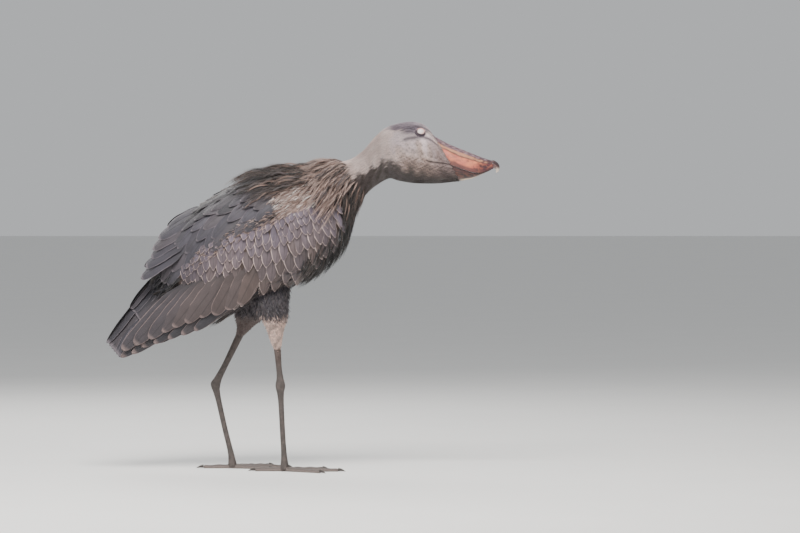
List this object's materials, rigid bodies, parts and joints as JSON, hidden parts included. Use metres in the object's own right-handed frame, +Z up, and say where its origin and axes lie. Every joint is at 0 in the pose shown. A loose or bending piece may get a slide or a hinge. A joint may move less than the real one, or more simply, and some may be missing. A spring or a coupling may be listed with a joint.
{
  "type": "shoebill, still life-size model",
  "caption": "Life-size standing shoebill, leaning forward with its neck stretched out and its wings folded.",
  "frame": {"origin": "on the floor, beneath the middle of the whole bird's box", "axes": "+X the way the bird faces, -Y its right side, +Z up"},
  "size_m": [1.1008, 0.3206, 0.9745],
  "materials": {
    "plumage_slate": "smooth slate feathers with pale edges",
    "plumage_pale": "short pale pinkish grey feathers",
    "plumage_dark": "soft dark grey-brown feathers",
    "horn": "mottled keratin, satin",
    "eye": "wet, covered by the pale third eyelid",
    "leg_skin": "dull scaled skin",
    "claw": "satin horn"
  },
  "bodies": {
    "root": {"head": "plumage_pale", "neck": "plumage_pale", "torso": "plumage_dark", "tail": "plumage_slate", "bill_upper": "horn", "bill_lower": "horn", "eye_right": "eye", "wing_right": "plumage_slate", "scapulars_right": "plumage_slate", "thigh_right": "plumage_dark", "shin_right": "leg_skin", "tarsus_right": "leg_skin", "inner_toe_right": "leg_skin", "inner_claw_right": "claw", "middle_toe_right": "leg_skin", "middle_claw_right": "claw", "outer_toe_right": "leg_skin", "outer_claw_right": "claw", "hind_toe_right": "leg_skin", "hind_claw_right": "claw", "eye_left": "eye", "wing_left": "plumage_slate", "scapulars_left": "plumage_slate", "thigh_left": "plumage_dark", "shin_left": "leg_skin", "tarsus_left": "leg_skin", "inner_toe_left": "leg_skin", "inner_claw_left": "claw", "middle_toe_left": "leg_skin", "middle_claw_left": "claw", "outer_toe_left": "leg_skin", "outer_claw_left": "claw", "hind_toe_left": "leg_skin", "hind_claw_left": "claw"}
  },
  "joints": []
}
